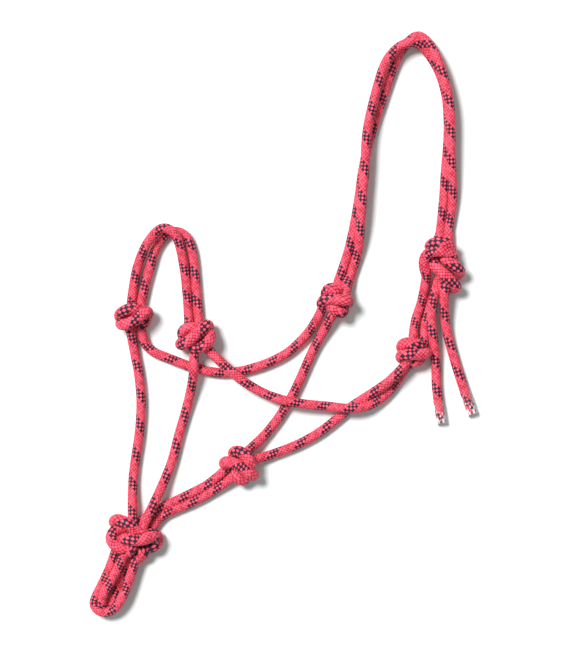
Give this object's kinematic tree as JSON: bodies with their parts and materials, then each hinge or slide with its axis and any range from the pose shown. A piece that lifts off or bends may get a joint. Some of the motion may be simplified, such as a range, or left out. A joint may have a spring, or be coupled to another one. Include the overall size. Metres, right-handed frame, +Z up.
{
  "type": "rope halter",
  "caption": "Rope halter tied from a braided cord, with knots at the nose, cheeks, throat and lead loop, a crown, a tie knot and loose tails, lying flat.",
  "frame": {"origin": "on the surface that the halter lies on, under the middle of its outline", "axes": "+Z up off the surface, +Y from the lead loop towards the crown, +X towards the tie knot's side"},
  "size_m": [0.3291, 0.4976, 0.0243],
  "materials": {
    "braided_rope": "matte braided polyester",
    "core_yarn": "matte filament yarn",
    "clear_sleeve": "clear gloss"
  },
  "bodies": {
    "halter": {"far_cheek_knot": "braided_rope", "far_cheek_strand": "braided_rope", "far_cheek_strand_core": "core_yarn", "far_chin_strand": "braided_rope", "far_chin_strand_core": "core_yarn", "far_nose_knot": "braided_rope", "far_throat_strand": "braided_rope", "far_throat_strand_core": "core_yarn", "fiador_knot": "braided_rope", "near_cheek_knot": "braided_rope", "near_cheek_strand": "braided_rope", "near_cheek_strand_core": "core_yarn", "near_chin_strand": "braided_rope", "near_chin_strand_core": "core_yarn", "near_nose_knot": "braided_rope", "near_throat_strand": "braided_rope", "near_throat_strand_core": "core_yarn", "throat_knot": "braided_rope", "throat_strap_lower": "braided_rope", "throat_strap_lower_core": "core_yarn", "throat_strap_upper": "braided_rope", "throat_strap_upper_core": "core_yarn", "tie_knot": "braided_rope", "tie_loop_left": "braided_rope", "tie_loop_left_core": "core_yarn", "tie_loop_right": "braided_rope", "tie_loop_right_core": "core_yarn"},
    "noseband": {"noseband_top_strand": "braided_rope", "noseband_top_strand_core": "core_yarn", "noseband_under_strand": "braided_rope", "noseband_under_strand_core": "core_yarn"},
    "crown": {"crown_under_strand": "braided_rope", "crown_under_strand_core": "core_yarn", "crown_top_strand": "braided_rope", "crown_top_strand_core": "core_yarn"},
    "lead_loop": {"lead_loop_outer": "braided_rope", "lead_loop_outer_core": "core_yarn", "lead_loop_inner": "braided_rope", "lead_loop_inner_core": "core_yarn"},
    "short_tail": {"short_tail": "braided_rope", "short_tail_core": "core_yarn", "short_tail_sleeve": "clear_sleeve"},
    "long_tail": {"long_tail": "braided_rope", "long_tail_core": "core_yarn", "long_tail_sleeve": "clear_sleeve"}
  },
  "joints": [
    {"name": "noseband_fold", "type": "hinge", "parent": "halter", "child": "noseband", "pos_m": [-0.1, 0.0107, 0.004], "axis": [0.9588, -0.284, 0], "range_deg": [0, 90]},
    {"name": "crown_fold", "type": "hinge", "parent": "halter", "child": "crown", "pos_m": [0.095, 0.0604, 0.004], "axis": [0.9042, 0.4271, 0], "range_deg": [0, 90]},
    {"name": "lead_loop_fold", "type": "hinge", "parent": "halter", "child": "lead_loop", "pos_m": [-0.133, -0.1985, 0.008], "axis": [-0.9089, 0.417, 0], "range_deg": [0, 90]},
    {"name": "short_tail_lift", "type": "hinge", "parent": "halter", "child": "short_tail", "pos_m": [0.1275, 0.023, 0.0128], "axis": [-1, 0, 0], "range_deg": [0, 90]},
    {"name": "long_tail_lift", "type": "hinge", "parent": "halter", "child": "long_tail", "pos_m": [0.1365, 0.023, 0.0128], "axis": [-1, 0, 0], "range_deg": [0, 90]}
  ]
}
